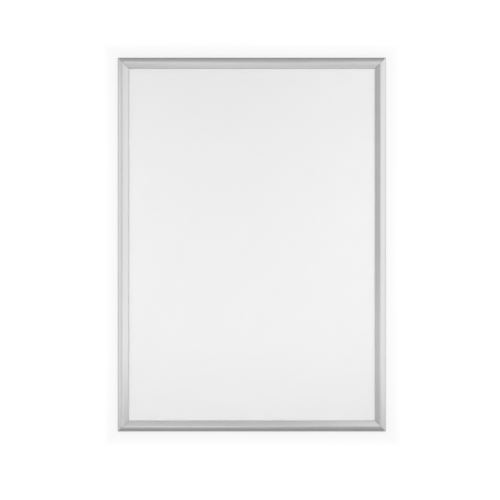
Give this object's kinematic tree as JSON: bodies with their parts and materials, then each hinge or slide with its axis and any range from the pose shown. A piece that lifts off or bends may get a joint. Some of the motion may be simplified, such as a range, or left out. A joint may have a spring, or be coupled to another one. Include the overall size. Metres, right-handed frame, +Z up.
{
  "type": "snap poster frame",
  "caption": "Upright aluminium poster frame with mitred, hinged snap covers, a clear sheet, a blank insert and a back panel, for hanging flat on a wall.",
  "frame": {"origin": "on the wall plane, in the middle of the top rail's back, on the line of its screw holes", "axes": "+X to the viewer's right, +Z up, -Y towards the viewer; the wall plane is y = 0"},
  "size_m": [0.627, 0.012, 0.8741],
  "materials": {
    "anodised_aluminium": "satin anodised, natural silver",
    "spring_steel": "bright tempered strip",
    "zinc_plated_steel": "zinc plated",
    "white_polystyrene": "matt white sheet",
    "blank_paper": "plain matt paper",
    "clear_sheet": "clear, anti-glare"
  },
  "bodies": {
    "base": {"base_rail_top": "anodised_aluminium", "base_rail_right": "anodised_aluminium", "base_rail_bottom": "anodised_aluminium", "base_rail_left": "anodised_aluminium", "leaf_spring_top_1": "spring_steel", "leaf_spring_top_2": "spring_steel", "leaf_spring_right_1": "spring_steel", "leaf_spring_right_2": "spring_steel", "leaf_spring_right_3": "spring_steel", "leaf_spring_bottom_1": "spring_steel", "leaf_spring_bottom_2": "spring_steel", "leaf_spring_left_1": "spring_steel", "leaf_spring_left_2": "spring_steel", "leaf_spring_left_3": "spring_steel", "corner_bracket_top_right": "zinc_plated_steel", "corner_bracket_bottom_right": "zinc_plated_steel", "corner_bracket_bottom_left": "zinc_plated_steel", "corner_bracket_top_left": "zinc_plated_steel", "corner_screw_top_right_1": "zinc_plated_steel", "corner_screw_top_right_2": "zinc_plated_steel", "corner_screw_bottom_right_1": "zinc_plated_steel", "corner_screw_bottom_right_2": "zinc_plated_steel", "corner_screw_bottom_left_1": "zinc_plated_steel", "corner_screw_bottom_left_2": "zinc_plated_steel", "corner_screw_top_left_1": "zinc_plated_steel", "corner_screw_top_left_2": "zinc_plated_steel", "back_panel": "white_polystyrene", "poster": "blank_paper", "clear_sheet": "clear_sheet"},
    "cover_top": {"snap_cover_top": "anodised_aluminium"},
    "cover_right": {"snap_cover_right": "anodised_aluminium"},
    "cover_bottom": {"snap_cover_bottom": "anodised_aluminium"},
    "cover_left": {"snap_cover_left": "anodised_aluminium"}
  },
  "joints": [
    {"name": "cover_top_hinge", "type": "hinge", "parent": "base", "child": "cover_top", "pos_m": [0, -0.0046, 0.00635], "axis": [-1, 0, 0], "range_deg": [0, 95], "stiffness_Nm_per_rad": 0.1, "springref_deg": -28.65},
    {"name": "cover_right_hinge", "type": "hinge", "parent": "base", "child": "cover_right", "pos_m": [0.3112, -0.0046, -0.42835], "axis": [0, 0, 1], "range_deg": [0, 95], "stiffness_Nm_per_rad": 0.1, "springref_deg": -28.65},
    {"name": "cover_bottom_hinge", "type": "hinge", "parent": "base", "child": "cover_bottom", "pos_m": [0, -0.0046, -0.86305], "axis": [1, 0, 0], "range_deg": [0, 95], "stiffness_Nm_per_rad": 0.1, "springref_deg": -28.65},
    {"name": "cover_left_hinge", "type": "hinge", "parent": "base", "child": "cover_left", "pos_m": [-0.3112, -0.0046, -0.42835], "axis": [0, 0, -1], "range_deg": [0, 95], "stiffness_Nm_per_rad": 0.1, "springref_deg": -28.65}
  ]
}
